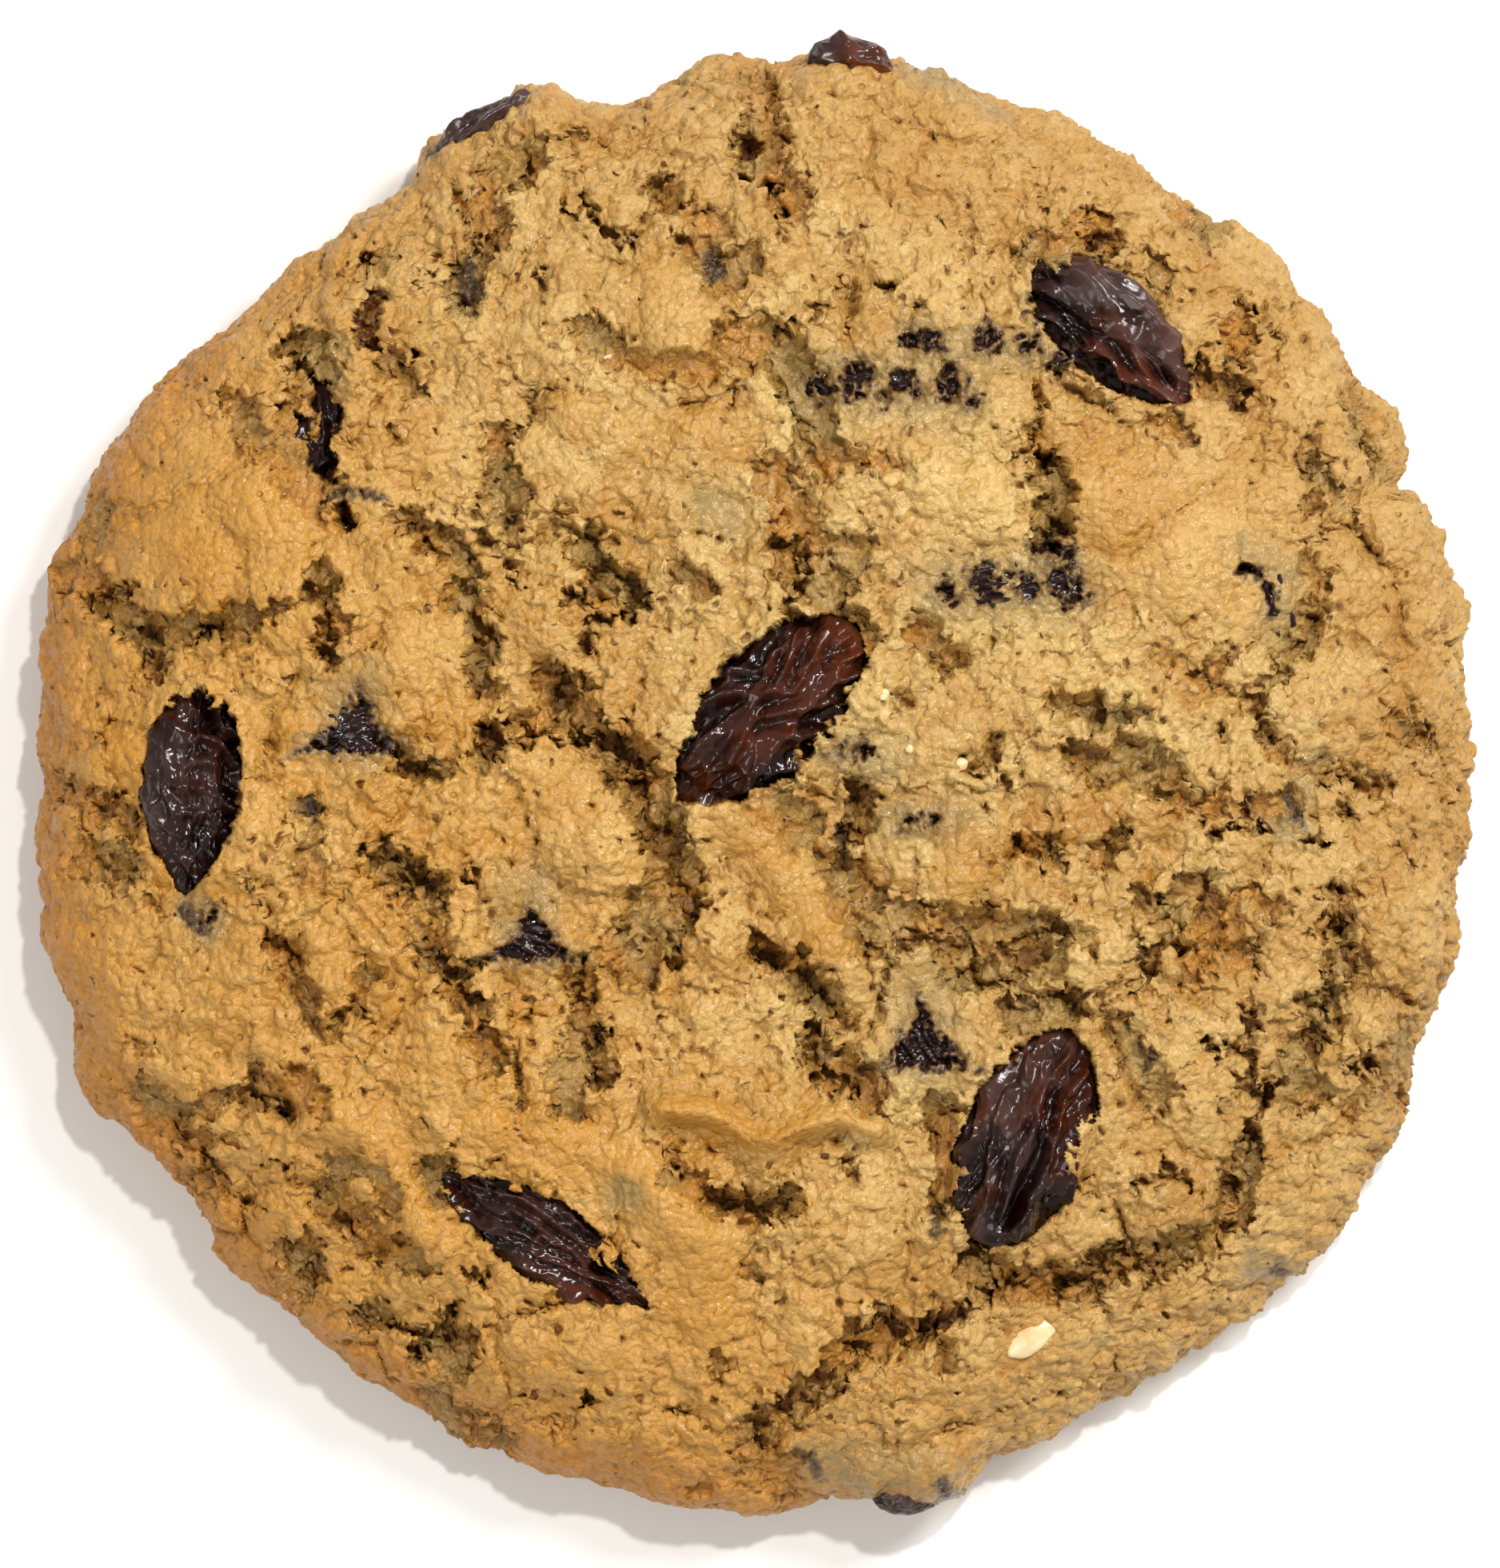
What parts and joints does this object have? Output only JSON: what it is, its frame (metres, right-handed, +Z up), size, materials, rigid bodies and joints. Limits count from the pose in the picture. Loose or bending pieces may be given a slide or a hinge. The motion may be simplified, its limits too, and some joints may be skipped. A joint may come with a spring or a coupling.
{
  "type": "oatmeal raisin cookie",
  "caption": "Round, thick, craggy baked oat biscuit with a cracked domed crust, a rounded rim, a flat underside and raisins bedded in the crust and rim.",
  "frame": {"origin": "centre of the flat underside, at the middle of the outline's box", "axes": "+Z up through the domed crust, +Y towards the crack and raisin in the far rim, +X to the right as seen from above"},
  "size_m": [0.0852, 0.088, 0.0145],
  "materials": {
    "dough": "golden-brown baked oat dough, dry and craggy with a slight buttery sheen",
    "raisin": "dark purple-brown wrinkled raisin skin, glossy on its folds"
  },
  "bodies": {
    "root": {"dough": "dough", "raisin_rim_top": "raisin", "raisin_rim_upper_left": "raisin", "raisin_rim_bottom": "raisin", "raisin_left": "raisin", "raisin_centre": "raisin", "raisin_lower_right": "raisin", "raisin_lower_left": "raisin", "raisin_upper_right": "raisin", "raisin_crack_left": "raisin", "raisin_peep_left": "raisin", "raisin_peep_middle": "raisin", "raisin_peep_right": "raisin", "raisin_skinned_upper": "raisin", "raisin_skinned_lower": "raisin", "raisin_right": "raisin"}
  },
  "joints": []
}
